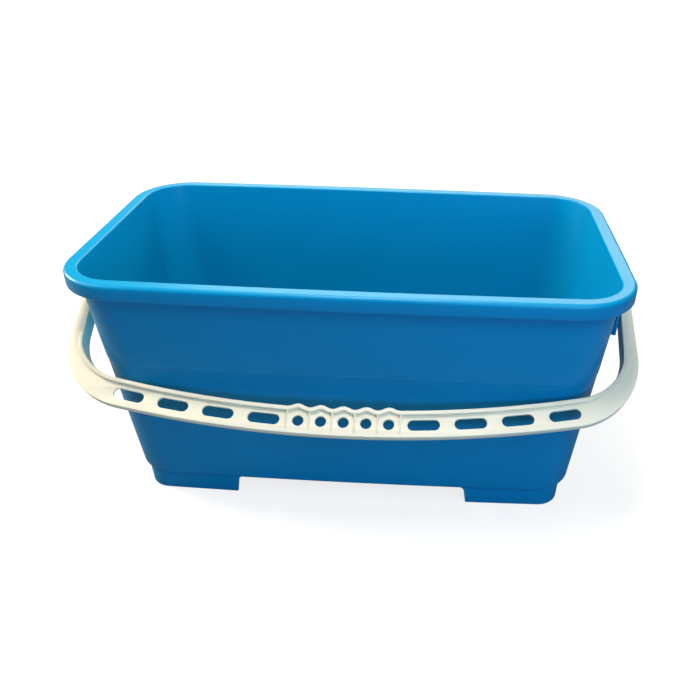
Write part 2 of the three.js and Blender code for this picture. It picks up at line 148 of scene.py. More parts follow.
# Handle, seen square to its own plane: x across, y up towards the pivots, z out of its front face
REST_LEAN = math.radians(56.7035)
LEG_INNER = 252.6
LEG_OUTER = 265.8
LEG_TOP = 261.0
LEG_ROOT_HEIGHT = 3.0
GRIP_INNER_DEPTH = 161.2
GRIP_OUTER_DEPTH = 185.2
GRIP_INNER_RADIUS = 1057.0
GRIP_OUTER_RADIUS = 1130.0
INNER_CORNER = 51.5
OUTER_CORNER = 69.0
WEB_FRONT = 6.5
WEB_THICKNESS = 2.6
WEB_SET_BACK = 0.3
LEG_FLANGE_BACK = -9.5
GRIP_FLANGE_BACK = -3.8
OUTER_FLANGE_BACK = -1.0
FLANGE_FADE = 60.0
FLANGE_WALL = 2.6
FLANGE_FRONT_DROP = 0.7
LIP_HEIGHT = 4.2
LIP_WIDTH = 3.8
LIP_FADE = 26.0

# Grip and slots
GRIP_HOLES = 5
GRIP_PITCH = 20.3
GRIP_HOLE_RADIUS = 5.0
GRIP_HOLE_RISE = 0.95
GRIP_RIB = 1.5
RIB_DROP = 0.5
RIB_END_HEIGHT = 1.0
RIB_END_GAP = 4.0
WAVE_HEIGHT = 3.0
SLOTS_PER_SIDE = 4
SLOT_LENGTH = 28.9
SLOT_WIDTH = 10.0
SLOT_BRIDGE = 12.9
SLOT_END_GAP = 6.45
SLOT_LINE_DROP = 0.4

# Pivots
STUD_RADIUS = 6.6
STUD_CLEARANCE = 0.4
EYE_RADIUS = 9.0
STUD_HEAD_RADIUS = 7.8
STUD_HEAD_LENGTH = 4.6
STUD_HEAD_SHARE = 1 / 3
STUD_CORE = 0.5
STUD_SLIT = 2.0
STUD_SLIT_DEPTH = 7.0

# Roundings of small edges
MOULDED_EDGE = 0.5
LIP_EDGE = 0.8
RIB_EDGE = 0.4
FINE_EDGE = 0.25
CRISP_EDGE = 0.1
EYE_EDGE = 0.8
EYE_SHOULDER_EDGE = 0.4
STUD_EDGE = 0.2
STUD_TIP_EDGE = 0.5
SHARP_ANGLE = math.radians(38)
WELD_DISTANCE = 0.001

# Fineness of the rounded forms, in steps
CORNER_STEPS = 18
LONG_SIDE_STEPS = 24
END_SIDE_STEPS = 6
WALL_STEPS = 6
LOW_WALL_STEPS = 4
HIGH_WALL_STEPS = 3
STEP_STEPS = 6
BOTTOM_STEPS = 8
SMALL_ROUND_STEPS = 4
FILLET_STEPS = 6
SKIRT_EDGE_STEPS = 8
RIM_OUTER_STEPS = 10
FOOT_SIDE_STEPS = 10
FOOT_CORNER_STEPS = 14
FOOT_FILLET_STEPS = 5
LEG_STEPS = 6
HANDLE_CORNER_STEPS = 28
GRIP_STEPS = 60
WAVE_STEPS = 20
SLOT_END_STEPS = 16
GRIP_HOLE_STEPS = 40
TURNED_STEPS = 48
EDGE_STEPS = 3
PLATE_EDGE_STEPS = 2

low, high = (Vector(corner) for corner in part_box("tub"))
TUB_MIDDLE_Y = (low.y + high.y) / 2 / METRES
PIVOT = Vector(frame["record"]["behaviour"]["joints"][0]["pos_m"]) / METRES
TUB_PLACE = Matrix.Translation((0, TUB_MIDDLE_Y, 0))
HANDLE_PLACE = Matrix.Translation(PIVOT) @ Matrix.Rotation(math.pi / 2 - REST_LEAN, 4, "X")

# Turns that stand a flat plate up: to face along X, with its own x along Y, and to face along Y
ACROSS = Matrix(((0, 0, 1, 0), (1, 0, 0, 0), (0, 1, 0, 0), (0, 0, 0, 1)))
UPRIGHT = Matrix(((1, 0, 0, 0), (0, 0, -1, 0), (0, 1, 0, 0), (0, 0, 0, 1)))


# Shapes

def lerp(a, b, share):
    return a + (b - a) * share


def smooth_share(value, start, end):
    share = min(max((value - start) / (end - start), 0), 1)
    return share * share * (3 - 2 * share)


def spread(start, end, steps):
    """Evenly spread values from start to end, both included."""
    return [lerp(start, end, i / steps) for i in range(steps + 1)]


def arc(centre_x, centre_y, radius, start, end, steps):
    return [
        Vector((centre_x + radius * math.cos(a), centre_y + radius * math.sin(a)))
        for a in spread(start, end, steps)
    ]


def soften(corners):
    """A closed outline whose corners (x, y, rounding) are rounded off."""
    outline = []
    for i, (x, y, rounding) in enumerate(corners):
        corner = Vector((x, y))
        before = Vector(corners[i - 1][:2]) - corner
        after = Vector(corners[(i + 1) % len(corners)][:2]) - corner
        start = corner + before.normalized() * rounding
        end = corner + after.normalized() * rounding
        for t in spread(0, 1, EDGE_STEPS):
            outline.append(start * (1 - t) ** 2 + corner * 2 * t * (1 - t) + end * t * t)
    return outline


def finish_piece(name, shape, place, material):
    """Turns a bmesh in millimetres into a smooth-shaded object in metres, with hard edges kept."""
    bmesh.ops.remove_doubles(shape, verts=shape.verts, dist=WELD_DISTANCE)
    bmesh.ops.transform(shape, matrix=Matrix.Scale(METRES, 4) @ place, verts=shape.verts)
    bmesh.ops.recalc_face_normals(shape, faces=shape.faces)
    for face in shape.faces:
        face.smooth = True
    for edge in shape.edges:
        edge.smooth = edge.is_manifold and edge.calc_face_angle() < SHARP_ANGLE
    mesh = bpy.data.meshes.new(name)
    shape.to_mesh(mesh)
    shape.free()
    mesh.materials.append(material)
    piece = bpy.data.objects.new(name, mesh)
    bpy.context.scene.collection.objects.link(piece)
    return piece


def loft(rings, closed_loop=False):
    """A skin over rings of points. The end rings get a face each, or a closed loop joins them."""
    shape = bmesh.new()
    rows = [[shape.verts.new(point) for point in ring] for ring in rings]
    following = rows[1:] + rows[:1] if closed_loop else rows[1:]
    for here, there in zip(rows, following):
        for i in range(len(here)):
            j = (i + 1) % len(here)
            shape.faces.new((here[i], here[j], there[j], there[i]))
    if not closed_loop:
        shape.faces.new(rows[0])
        shape.faces.new(rows[-1])
    return shape


def shape_of(piece):
    """The mesh of an object as it is drawn, with its curve or modifiers worked out."""
    return bpy.data.meshes.new_from_object(
        piece.evaluated_get(bpy.context.evaluated_depsgraph_get())
    )


def plate(outlines, thickness, rounding):
    """A flat plate in the XY plane with rounded edges, from its outline and those of its holes."""
    curve = bpy.data.curves.new("plate", "CURVE")
    curve.dimensions = "2D"
    curve.fill_mode = "BOTH"
    curve.extrude = thickness / 2 - rounding
    curve.bevel_depth = rounding
    curve.bevel_resolution = PLATE_EDGE_STEPS
    curve.offset = -rounding
    for outline in outlines:
        spline = curve.splines.new("POLY")
        spline.points.add(len(outline) - 1)
        for point, (x, y) in zip(spline.points, outline):
            point.co = (x, y, 0, 1)
        spline.use_cyclic_u = True
    drawn = bpy.data.objects.new("plate", curve)
    bpy.context.scene.collection.objects.link(drawn)
    mesh = shape_of(drawn)
    shape = bmesh.new()
    shape.from_mesh(mesh)
    bpy.data.objects.remove(drawn)
    bpy.data.curves.remove(curve)
    bpy.data.meshes.remove(mesh)
    return shape


def turned(profile, steps):
    """Rings of points about the X axis, one for each (x, radius) point of a profile."""
    rings = []
    for x, radius in profile:
        angles = spread(0, math.tau, steps)[:-1]
        rings.append([Vector((x, radius * math.cos(a), radius * math.sin(a))) for a in angles])
    return rings


# Tub

def tub_ring(inset, height, corner):
    """A rounded rectangle, set in from the rim's outer edge, with bowed long sides."""
    half_length = RIM_LENGTH / 2 - inset
    half_depth = RIM_DEPTH / 2 - inset
    across, along = half_length - corner, half_depth - corner
    outline = []
    corners = [(1, 1), (-1, 1), (-1, -1), (1, -1)]
    for quarter, (sx, sy) in enumerate(corners):
        start = quarter * math.pi / 2
        end = start + math.pi / 2
        outline += arc(sx * across, sy * along, corner, start, end, CORNER_STEPS)
        next_x, next_y = corners[(quarter + 1) % 4]
        here = outline[-1]
        out = Vector((math.cos(end), math.sin(end)))
        there = Vector((next_x * across, next_y * along)) + corner * out
        steps = END_SIDE_STEPS if quarter % 2 else LONG_SIDE_STEPS
        outline += [here.lerp(there, i / steps) for i in range(1, steps)]
    bowed = []
    for x, y in outline:
        bow = SIDE_BOW * (1 - (x / half_length) ** 2) * (y / half_depth)
        bowed.append(Vector((x, y + bow, height)))
    return bowed


def lean_inset(height):
    return RIM_OVERHANG + WALL_LEAN * (RIM_TOP - height) / (RIM_TOP - FOOT_HEIGHT)


def wall_corner(height):
    return lerp(FLOOR_CORNER, WALL_CORNER, (height - FOOT_HEIGHT) / (RIM_TOP - FOOT_HEIGHT))


def outer_wall(height, extra=0):
    step = STEP_DEPTH * (0.5 - smooth_share(height, STEP_HEIGHT, STEP_HEIGHT + STEP_RISE))
    return tub_ring(lean_inset(height) + step + extra, height, wall_corner(height) - extra)


def inner_wall(height, extra=0):
    inset = lean_inset(height) + WALL_THICKNESS + extra
    return tub_ring(inset, height, wall_corner(height) - WALL_THICKNESS - extra)


def rim_ring(inset, height):
    """A ring of the flange, whose corners get tighter towards the inside."""
    inner_share = min(max((inset - RIM_OUTER_ROUND) / (RIM_OVERHANG - RIM_OUTER_ROUND), 0), 1)
    corner = lerp(RIM_CORNER, WALL_CORNER + RIM_OVERHANG, inner_share)
    return tub_ring(inset, height, corner - inset)


def quarter_turn(steps):
    """Points of a quarter round of radius 1, as their distances from the two lines it joins."""
    return [(1 - math.cos(a), 1 - math.sin(a)) for a in spread(0, math.pi / 2, steps)]


def bottom_edge(ring_at, height):
    """The round between floor and wall, after a ring on the flat of the floor."""
    turn = [
        ring_at(height + BOTTOM_ROUND * up, BOTTOM_ROUND * across)
        for up, across in quarter_turn(BOTTOM_STEPS)
    ]
    return [ring_at(height, BOTTOM_ROUND * 2), *turn]


def tub_shell():
    """The tub in one skin: up the outside, over the rim and down the inside."""
    under_flange = RIM_TOP - FLANGE_THICKNESS
    skirt_bottom = RIM_TOP - SKIRT_HEIGHT
    rim_inner = RIM_OVERHANG + WALL_THICKNESS
    fillet_foot = under_flange - UNDER_RIM_FILLET
    fillet_inset = lean_inset(fillet_foot) - STEP_DEPTH / 2
    wall_foot = FOOT_HEIGHT + BOTTOM_ROUND
    step_top = STEP_HEIGHT + STEP_RISE
    floor_top = FOOT_HEIGHT + FLOOR_THICKNESS

    rings = bottom_edge(outer_wall, FOOT_HEIGHT)
    rings += [outer_wall(z) for z in spread(wall_foot, STEP_HEIGHT, LOW_WALL_STEPS)[1:]]
    rings += [outer_wall(z) for z in spread(STEP_HEIGHT, step_top, STEP_STEPS)[1:]]
    rings += [outer_wall(z) for z in spread(step_top, fillet_foot, HIGH_WALL_STEPS)[1:-1]]
    for out, down in quarter_turn(FILLET_STEPS):
        inset = fillet_inset - UNDER_RIM_FILLET * out
        rings.append(rim_ring(inset, fillet_foot + UNDER_RIM_FILLET * (1 - down)))
    for down, across in quarter_turn(SMALL_ROUND_STEPS):
        inset = SKIRT_THICKNESS + SKIRT_EDGE_ROUND * across
        rings.append(rim_ring(inset, under_flange - SKIRT_EDGE_ROUND * down))
    for a in spread(0, math.pi, SKIRT_EDGE_STEPS):
        inset = SKIRT_THICKNESS / 2 + SKIRT_THICKNESS / 2 * math.cos(a)
        rings.append(rim_ring(inset, skirt_bottom + SKIRT_EDGE_ROUND * (1 - math.sin(a))))
    for across, down in quarter_turn(RIM_OUTER_STEPS):
        rings.append(rim_ring(RIM_OUTER_ROUND * across, RIM_TOP - RIM_OUTER_ROUND * down))
    rings.append(rim_ring(RIM_OUTER_ROUND + RIM_OUTER_FLAT, RIM_TOP))
    rings.append(rim_ring(rim_inner - RIM_INNER_ROUND - RIM_INNER_FLAT, RIM_TOP))
    for down, across in quarter_turn(FILLET_STEPS):
        inset = rim_inner - RIM_INNER_ROUND * across
        rings.append(rim_ring(inset, RIM_TOP - RIM_INNER_ROUND * down))
    rings += [inner_wall(z) for z in spread(RIM_TOP, floor_top + BOTTOM_ROUND, WALL_STEPS)[1:-1]]
    rings += bottom_edge(inner_wall, floor_top)[::-1]
    return loft(rings)


def foot_opening(height):
    """Half the width of the gap between the feet at a height, with its rounded upper corners."""
    fillet_foot = FOOT_HEIGHT - FOOT_END_FILLET
    low_side = FOOT_GAP / 2 - FOOT_END_DRAFT * min(height, fillet_foot) / FOOT_HEIGHT
    rise = min(max(height - fillet_foot, 0), FOOT_END_FILLET)
    return low_side - FOOT_END_FILLET + math.sqrt(FOOT_END_FILLET ** 2 - rise ** 2)


def foot_line(inset, height, side):
    """The course of a foot skirt round one end of the tub, at one height."""
    half_length = RIM_LENGTH / 2 - FOOT_END_INSET - inset
    half_depth = RIM_DEPTH / 2 - inset
    corner = FOOT_CORNER - (inset - lean_inset(FOOT_HEIGHT) - FOOT_INSET)
    across, along = half_length - corner, half_depth - corner
    start = foot_opening(height)
    line = [Vector((x, half_depth)) for x in spread(start, across, FOOT_SIDE_STEPS)[:-1]]
    line += arc(across, along, corner, math.pi / 2, 0, FOOT_CORNER_STEPS)
    line += [Vector((half_length, y)) for y in spread(along, -along, END_SIDE_STEPS)[1:-1]]
    line += arc(across, -along, corner, 0, -math.pi / 2, FOOT_CORNER_STEPS)
    line += [Vector((x, -half_depth)) for x in spread(across, start, FOOT_SIDE_STEPS)[1:]]
    return [
        Vector((side * x, y + SIDE_BOW * (1 - (x / half_length) ** 2) * (y / half_depth), height))
        for x, y in line
    ]


def foot(side):
    """The skirt under one end of the tub, closed at its two ends beside the gap."""
    top = FOOT_HEIGHT + FOOT_SEAT
    low_heights = [FOOT_EDGE_ROUND * up for up, _ in quarter_turn(SMALL_ROUND_STEPS)]
    fillet_heights = [
        FOOT_HEIGHT - FOOT_END_FILLET * down for _, down in quarter_turn(FOOT_FILLET_STEPS)
    ]
    heights = [*low_heights, FOOT_HEIGHT / 2, *fillet_heights, top]
    outer, inner = [], []
    for z in heights:
        inset = lean_inset(FOOT_HEIGHT) + STEP_DEPTH / 2 + FOOT_INSET + FOOT_DRAFT * (1 - z / top)
        under = max(1 - z / FOOT_EDGE_ROUND, 0)
        edge = FOOT_EDGE_ROUND * (1 - math.sqrt(1 - under ** 2))
        outer.append(foot_line(inset + edge, z, side))
        inner.append(foot_line(inset + FOOT_THICKNESS, z, side))
    section_rows = outer + inner[::-1]
    shape = bmesh.new()
    rows = [[shape.verts.new(point) for point in row] for row in section_rows]
    for here, there in zip(rows, rows[1:] + rows[:1]):
        for i in range(len(here) - 1):
            shape.faces.new((here[i], here[i + 1], there[i + 1], there[i]))
    for end in (0, -1):
        for i in range(len(heights) - 1):
            back = len(rows) - 1 - i
            corners = (rows[i], rows[i + 1], rows[back - 1], rows[back])
            shape.faces.new([row[end] for row in corners])
    return shape


def ear_pieces(side):
    """The plate, the two gussets and the boss at one end, with their places."""
    mirror = Matrix.Diagonal((side, 1, 1, 1))
    plate_outer = RIM_LENGTH / 2 - EAR_SET_BACK
    plate_inner = plate_outer - EAR_PLATE
    plate_top = RIM_TOP - FLANGE_THICKNESS / 2
    half = EAR_WIDTH / 2
    outline = soften([
        (-half, plate_top, CRISP_EDGE), (-half, EAR_BOTTOM, EAR_CORNER),
        (half, EAR_BOTTOM, EAR_CORNER), (half, plate_top, CRISP_EDGE),
    ])
    bore = arc(0, PIVOT.z, EAR_BORE_RADIUS, 0, math.tau, TURNED_STEPS)[:-1]
    plate_place = mirror @ Matrix.Translation((plate_outer - EAR_PLATE / 2, 0, 0)) @ ACROSS
    yield "plate", plate([outline, bore], EAR_PLATE, MOULDED_EDGE), plate_place

    def root(height):
        return RIM_LENGTH / 2 - lean_inset(height) - WALL_THICKNESS / 2

    web = [
        (root(EAR_BOTTOM), EAR_BOTTOM), (plate_outer - EAR_PLATE / 2, EAR_BOTTOM),
        (plate_outer - EAR_PLATE / 2, plate_top), (root(plate_top), plate_top),
    ]
    for label, end in (("front", -1), ("back", 1)):
        middle = end * (half - EAR_CORNER - EAR_GUSSET / 2)
        yield (
            f"gusset_{label}", plate([web], EAR_GUSSET, FINE_EDGE),
            mirror @ Matrix.Translation((0, middle, 0)) @ UPRIGHT,
        )

    boss_end = plate_inner - EAR_BOSS_HEIGHT
    boss_root = plate_inner + EAR_PLATE / 2
    section = soften([
        (boss_end, EAR_BOSS_BORE_RADIUS, MOULDED_EDGE), (boss_end, EAR_BOSS_RADIUS, MOULDED_EDGE),
        (boss_root, EAR_BOSS_RADIUS, FINE_EDGE), (boss_root, EAR_BOSS_BORE_RADIUS, FINE_EDGE),
    ])
    boss = loft(turned(section, TURNED_STEPS), closed_loop=True)
    yield "boss", boss, mirror @ Matrix.Translation((0, 0, PIVOT.z))


# Handle

def handle_half(top, corner_half_width, corner_radius, depth, radius):
    """Half of an edge: down a leg, round the corner and along the grip to the middle."""
    grip_centre = radius - depth
    corner_x = corner_half_width - corner_radius
    reach = radius - corner_radius
    corner_y = grip_centre - math.sqrt(reach ** 2 - corner_x ** 2)
    meet = math.atan2(corner_y - grip_centre, corner_x)
    away = Vector((top - corner_x, LEG_ROOT_HEIGHT - corner_y))
    touch = math.atan2(away.y, away.x) - math.acos(corner_radius / away.length)
    corner = arc(corner_x, corner_y, corner_radius, touch, meet, HANDLE_CORNER_STEPS)
    root = Vector((top, LEG_ROOT_HEIGHT))
    leg = [root.lerp(corner[0], i / LEG_STEPS) for i in range(LEG_STEPS)]
    grip = arc(0, grip_centre, radius, meet, -math.pi / 2, GRIP_STEPS)[1:]
    return leg + corner + grip, len(leg)


def mirrored(half):
    return half + [Vector((-p.x, p.y)) for p in half[-2::-1]]


def grip_line(x, depth, radius):
    return radius - depth - math.sqrt(radius ** 2 - x ** 2)


GRIP_HALF_LENGTH = GRIP_HOLES * GRIP_PITCH / 2
GRIP_MIDDLE_DEPTH = (GRIP_INNER_DEPTH + GRIP_OUTER_DEPTH) / 2
GRIP_MIDDLE_RADIUS = (GRIP_INNER_RADIUS + GRIP_OUTER_RADIUS) / 2

inner_half, leg_points = handle_half(
    LEG_INNER, LEG_INNER, INNER_CORNER, GRIP_INNER_DEPTH, GRIP_INNER_RADIUS,
)
outer_half, _ = handle_half(LEG_TOP, LEG_OUTER, OUTER_CORNER, GRIP_OUTER_DEPTH, GRIP_OUTER_RADIUS)
outer_edge = mirrored(outer_half)
leg_length = -inner_half[leg_points].y


def with_wave(edge):
    """The inner edge with a peak over each hole of the grip."""
    wave = []
    for x in spread(GRIP_HALF_LENGTH, -GRIP_HALF_LENGTH, GRIP_HOLES * WAVE_STEPS):
        turn = (x / GRIP_PITCH + GRIP_HOLES / 2) * math.tau
        rise = WAVE_HEIGHT * (1 - math.cos(turn)) / 2
        wave.append(Vector((x, grip_line(x, GRIP_INNER_DEPTH, GRIP_INNER_RADIUS) + rise)))
    right = [p for p in edge if p.x > GRIP_HALF_LENGTH]
    left = [p for p in edge if p.x < -GRIP_HALF_LENGTH]
    return right + wave + left


inner_edge = with_wave(mirrored(inner_half))


def inward(edge, side):
    """At each point of an edge, the direction into the handle."""
    ways = []
    for i in range(len(edge)):
        along = (edge[min(i + 1, len(edge) - 1)] - edge[max(i - 1, 0)]).normalized()
        ways.append(Vector((-along.y, along.x)) * side)
    return ways


def shifted(edge, side, distance):
    return [p + way * distance for p, way in zip(edge, inward(edge, side))]


def end_distances(edge):
    lengths = [0.0]
    for before, here in zip(edge, edge[1:]):
        lengths.append(lengths[-1] + (here - before).length)
    return [min(length, lengths[-1] - length) for length in lengths]


def band(edge, side, section_at):
    """A wall along an edge, whose section (depth into the handle, height) follows its place."""
    rings = []
    for point, way, distance in zip(edge, inward(edge, side), end_distances(edge)):
        section = section_at(distance)
        rings.append([Vector((*(point + way * depth), height)) for depth, height in section])
    return loft(rings)


def inner_section(distance):
    lip = smooth_share(distance, leg_length, leg_length + LIP_FADE)
    front = lerp(WEB_FRONT - FLANGE_FRONT_DROP, WEB_FRONT + LIP_HEIGHT, lip)
    shallow = smooth_share(distance, leg_length, leg_length + FLANGE_FADE)
    back = lerp(LEG_FLANGE_BACK, GRIP_FLANGE_BACK, shallow)
    shoulder = WEB_FRONT - WEB_THICKNESS / 2
    return soften([
        (0, back, MOULDED_EDGE), (0, front, LIP_EDGE), (LIP_WIDTH, front, MOULDED_EDGE),
        (LIP_WIDTH, shoulder, CRISP_EDGE), (FLANGE_WALL, shoulder, CRISP_EDGE),
        (FLANGE_WALL, back, MOULDED_EDGE),
    ])


def outer_section(_):
    front = WEB_FRONT - FLANGE_FRONT_DROP
    return soften([
        (0, OUTER_FLANGE_BACK, MOULDED_EDGE), (0, front, MOULDED_EDGE),
        (FLANGE_WALL, front, MOULDED_EDGE), (FLANGE_WALL, OUTER_FLANGE_BACK, MOULDED_EDGE),
    ])


def slot_outline(x):
    y = grip_line(x, GRIP_MIDDLE_DEPTH + SLOT_LINE_DROP, GRIP_MIDDLE_RADIUS)
    radius = SLOT_WIDTH / 2
    straight = SLOT_LENGTH / 2 - radius
    ends = arc(straight, 0, radius, -math.pi / 2, math.pi / 2, SLOT_END_STEPS)
    ends += arc(-straight, 0, radius, math.pi / 2, 3 * math.pi / 2, SLOT_END_STEPS)
    tilt = Matrix.Rotation(math.asin(x / GRIP_MIDDLE_RADIUS), 2)
    return [tilt @ p + Vector((x, y)) for p in ends]


def web():
    outline = shifted(outer_edge, -1, WEB_SET_BACK) + shifted(inner_edge, 1, WEB_SET_BACK)[::-1]
    holes = []
    first = GRIP_HALF_LENGTH + SLOT_END_GAP + SLOT_LENGTH / 2
    for i in range(SLOTS_PER_SIDE):
        place = first + i * (SLOT_LENGTH + SLOT_BRIDGE)
        holes += [slot_outline(place), slot_outline(-place)]
    for i in range(GRIP_HOLES):
        x = (i - (GRIP_HOLES - 1) / 2) * GRIP_PITCH
        y = GRIP_HOLE_RISE - GRIP_MIDDLE_DEPTH
        holes.append(arc(x, y, GRIP_HOLE_RADIUS, 0, math.tau, GRIP_HOLE_STEPS)[:-1])
    return plate([outline, *holes], WEB_THICKNESS, MOULDED_EDGE)


def rib(x):
    """A rib across the grip, which slopes down from the lip and ends short of the outer edge."""
    root = WEB_FRONT - WEB_THICKNESS / 2
    high = WEB_FRONT + LIP_HEIGHT - RIB_DROP
    low = WEB_FRONT + RIB_END_HEIGHT
    start = grip_line(x, GRIP_INNER_DEPTH, GRIP_INNER_RADIUS) - LIP_WIDTH / 2
    end = grip_line(x, GRIP_OUTER_DEPTH, GRIP_OUTER_RADIUS) + RIB_END_GAP
    return plate([[(start, root), (end, root), (end, low), (start, high)]], GRIP_RIB, RIB_EDGE)


def pivot_end():
    """The eye at the end of a leg, with the stud that snaps into the ear, not yet split."""
    ear_face = RIM_LENGTH / 2 - EAR_SET_BACK
    shoulder = ear_face + STUD_CLEARANCE
    inside = ear_face - EAR_PLATE - EAR_BOSS_HEIGHT - STUD_CLEARANCE
    head_end = inside - STUD_HEAD_LENGTH
    profile = soften([
        (LEG_TOP, STUD_CORE, CRISP_EDGE), (LEG_TOP, EYE_RADIUS, EYE_EDGE),
        (shoulder, EYE_RADIUS, EYE_SHOULDER_EDGE), (shoulder, STUD_RADIUS, STUD_EDGE),
        (inside, STUD_RADIUS, STUD_EDGE), (inside, STUD_HEAD_RADIUS, STUD_EDGE),
        (lerp(inside, head_end, STUD_HEAD_SHARE), STUD_HEAD_RADIUS, EYE_SHOULDER_EDGE),
        (head_end, STUD_RADIUS, STUD_TIP_EDGE), (head_end, STUD_CORE, CRISP_EDGE),
    ])
    return loft(turned(profile, TURNED_STEPS)), head_end


def cut_slit(piece, head_end, side):
    """Splits the stud of a pivot end along its length, so that its two halves can spring."""
    box = bmesh.new()
    bmesh.ops.create_cube(box, size=1)
    size = Matrix.Diagonal((2 * STUD_SLIT_DEPTH, STUD_SLIT, 4 * STUD_RADIUS, 1))
    place = HANDLE_PLACE @ Matrix.Translation((side * head_end, 0, 0)) @ size
    cutter = finish_piece("slit", box, place, piece.data.materials[0])
    cut = piece.modifiers.new("slit", "BOOLEAN")
    cut.operation = "DIFFERENCE"
    cut.solver = "EXACT"
    cut.object = cutter
    mesh = shape_of(piece)
    piece.modifiers.clear()
    piece.data = mesh
    bpy.data.objects.remove(cutter)


# Node helpers

def add(tree, kind, **values):
    """One node, with its settings and the values of its unlinked sockets."""
    node = tree.nodes.new(kind)
    for name, value in values.items():
        if hasattr(node, name):
            setattr(node, name, value)
        else:
            node.inputs[name.replace("_", " ")].default_value = value
    return node


def link(tree, source, target):
    tree.links.new(source, target)


def new_group(name, inputs, outputs):
    """An empty shader node group with named sockets, and its input and output nodes."""
    group = bpy.data.node_groups.new(name, "ShaderNodeTree")
    for label, kind, value in inputs:
        socket = group.interface.new_socket(label, in_out="INPUT", socket_type=kind)
        socket.default_value = value
    for label, kind in outputs:
        group.interface.new_socket(label, in_out="OUTPUT", socket_type=kind)
    return group, group.nodes.new("NodeGroupInput"), group.nodes.new("NodeGroupOutput")


def place_group(tree, group, **values):
    node = tree.nodes.new("ShaderNodeGroup")
    node.node_tree = group
    for name, value in values.items():
        node.inputs[name.replace("_", " ")].default_value = value
    return node


def ramp(tree, low_value, high_value):
    """Spreads a value between two limits over 0 to 1."""
    node = add(tree, "ShaderNodeMapRange", clamp=True)
    node.inputs["From Min"].default_value = low_value
    node.inputs["From Max"].default_value = high_value
    return node


FLOAT = "NodeSocketFloat"


def moulded_skin_group():
    """The skin of moulded plastic: a fine even grain over slow waves, as one height."""
    group, given, result = new_group(
        "moulded skin",
        [("Grain Scale", FLOAT, 900.0), ("Wave Scale", FLOAT, 9.0), ("Wave Share", FLOAT, 0.5)],
        [("Height", FLOAT), ("Mottle", FLOAT)],
    )
    place = add(group, "ShaderNodeTexCoord")
    grain = add(group, "ShaderNodeTexNoise", Detail=3.0, Roughness=0.6)
    wave = add(group, "ShaderNodeTexNoise", Detail=3.0, Roughness=0.5)
    for texture, scale in ((grain, "Grain Scale"), (wave, "Wave Scale")):
        link(group, place.outputs["Object"], texture.inputs["Vector"])
        link(group, given.outputs[scale], texture.inputs["Scale"])
    blend = add(group, "ShaderNodeMix", data_type="FLOAT")
    link(group, given.outputs["Wave Share"], blend.inputs[0])
    link(group, grain.outputs["Fac"], blend.inputs[2])
    link(group, wave.outputs["Fac"], blend.inputs[3])
    link(group, blend.outputs[0], result.inputs["Height"])
    link(group, wave.outputs["Fac"], result.inputs["Mottle"])
    return group


def edge_wear_group():
    """Where edges are rubbed: convex edges, broken up by noise."""
    group, given, result = new_group(
        "edge wear",
        [("Low", FLOAT, 0.52), ("High", FLOAT, 0.58), ("Patch Scale", FLOAT, 60.0)],
        [("Wear", FLOAT)],
    )
    form = add(group, "ShaderNodeNewGeometry")
    spread_out = add(group, "ShaderNodeMapRange", clamp=True)
    link(group, form.outputs["Pointiness"], spread_out.inputs["Value"])
    link(group, given.outputs["Low"], spread_out.inputs["From Min"])
    link(group, given.outputs["High"], spread_out.inputs["From Max"])
    place = add(group, "ShaderNodeTexCoord")
    patches = add(group, "ShaderNodeTexNoise", Detail=4.0, Roughness=0.7)
    link(group, place.outputs["Object"], patches.inputs["Vector"])
    link(group, given.outputs["Patch Scale"], patches.inputs["Scale"])
    broken = ramp(group, *WEAR_PATCH_RANGE)
    link(group, patches.outputs["Fac"], broken.inputs["Value"])
    both = add(group, "ShaderNodeMath", operation="MULTIPLY")
    link(group, spread_out.outputs["Result"], both.inputs[0])
    link(group, broken.outputs["Result"], both.inputs[1])
    link(group, both.outputs[0], result.inputs["Wear"])
    return group


MOULDED_SKIN = moulded_skin_group()
EDGE_WEAR = edge_wear_group()


def moulded_plastic(name, colour, worn_colour, roughness, specular, grain, wear, **skin):
    """A moulded plastic: mottled colour, rubbed edges, uneven gloss and a fine grain."""
    material = bpy.data.materials.new(name)
    material.use_nodes = True
    tree = material.node_tree
    shader = tree.nodes["Principled BSDF"]
    shader.inputs["IOR"].default_value = PLASTIC_IOR
    shader.inputs["Specular IOR Level"].default_value = specular
    surface = place_group(tree, MOULDED_SKIN, **skin)
    worn = place_group(tree, EDGE_WEAR)

    mottle = add(tree, "ShaderNodeMix", data_type="RGBA")
    mottle.inputs[6].default_value = (*[c * (1 - MOTTLE_SHARE) for c in colour], 1)
    mottle.inputs[7].default_value = (*[min(c * (1 + MOTTLE_SHARE), 1) for c in colour], 1)
    link(tree, surface.outputs["Mottle"], mottle.inputs[0])

    strength = add(tree, "ShaderNodeMath", operation="MULTIPLY")
    strength.inputs[1].default_value = wear
    link(tree, worn.outputs["Wear"], strength.inputs[0])
    rubbed = add(tree, "ShaderNodeMix", data_type="RGBA")
    rubbed.inputs[7].default_value = (*worn_colour, 1)
    link(tree, strength.outputs[0], rubbed.inputs[0])
    link(tree, mottle.outputs[2], rubbed.inputs[6])
    link(tree, rubbed.outputs[2], shader.inputs["Base Color"])

    gloss = add(tree, "ShaderNodeMapRange", clamp=True)
    gloss.inputs["To Min"].default_value = roughness - ROUGHNESS_SPREAD
    gloss.inputs["To Max"].default_value = roughness + ROUGHNESS_SPREAD
    link(tree, surface.outputs["Mottle"], gloss.inputs["Value"])
    link(tree, gloss.outputs["Result"], shader.inputs["Roughness"])

    bump = add(tree, "ShaderNodeBump", Distance=grain)
    link(tree, surface.outputs["Height"], bump.inputs["Height"])
    link(tree, bump.outputs["Normal"], shader.inputs["Normal"])
    return material


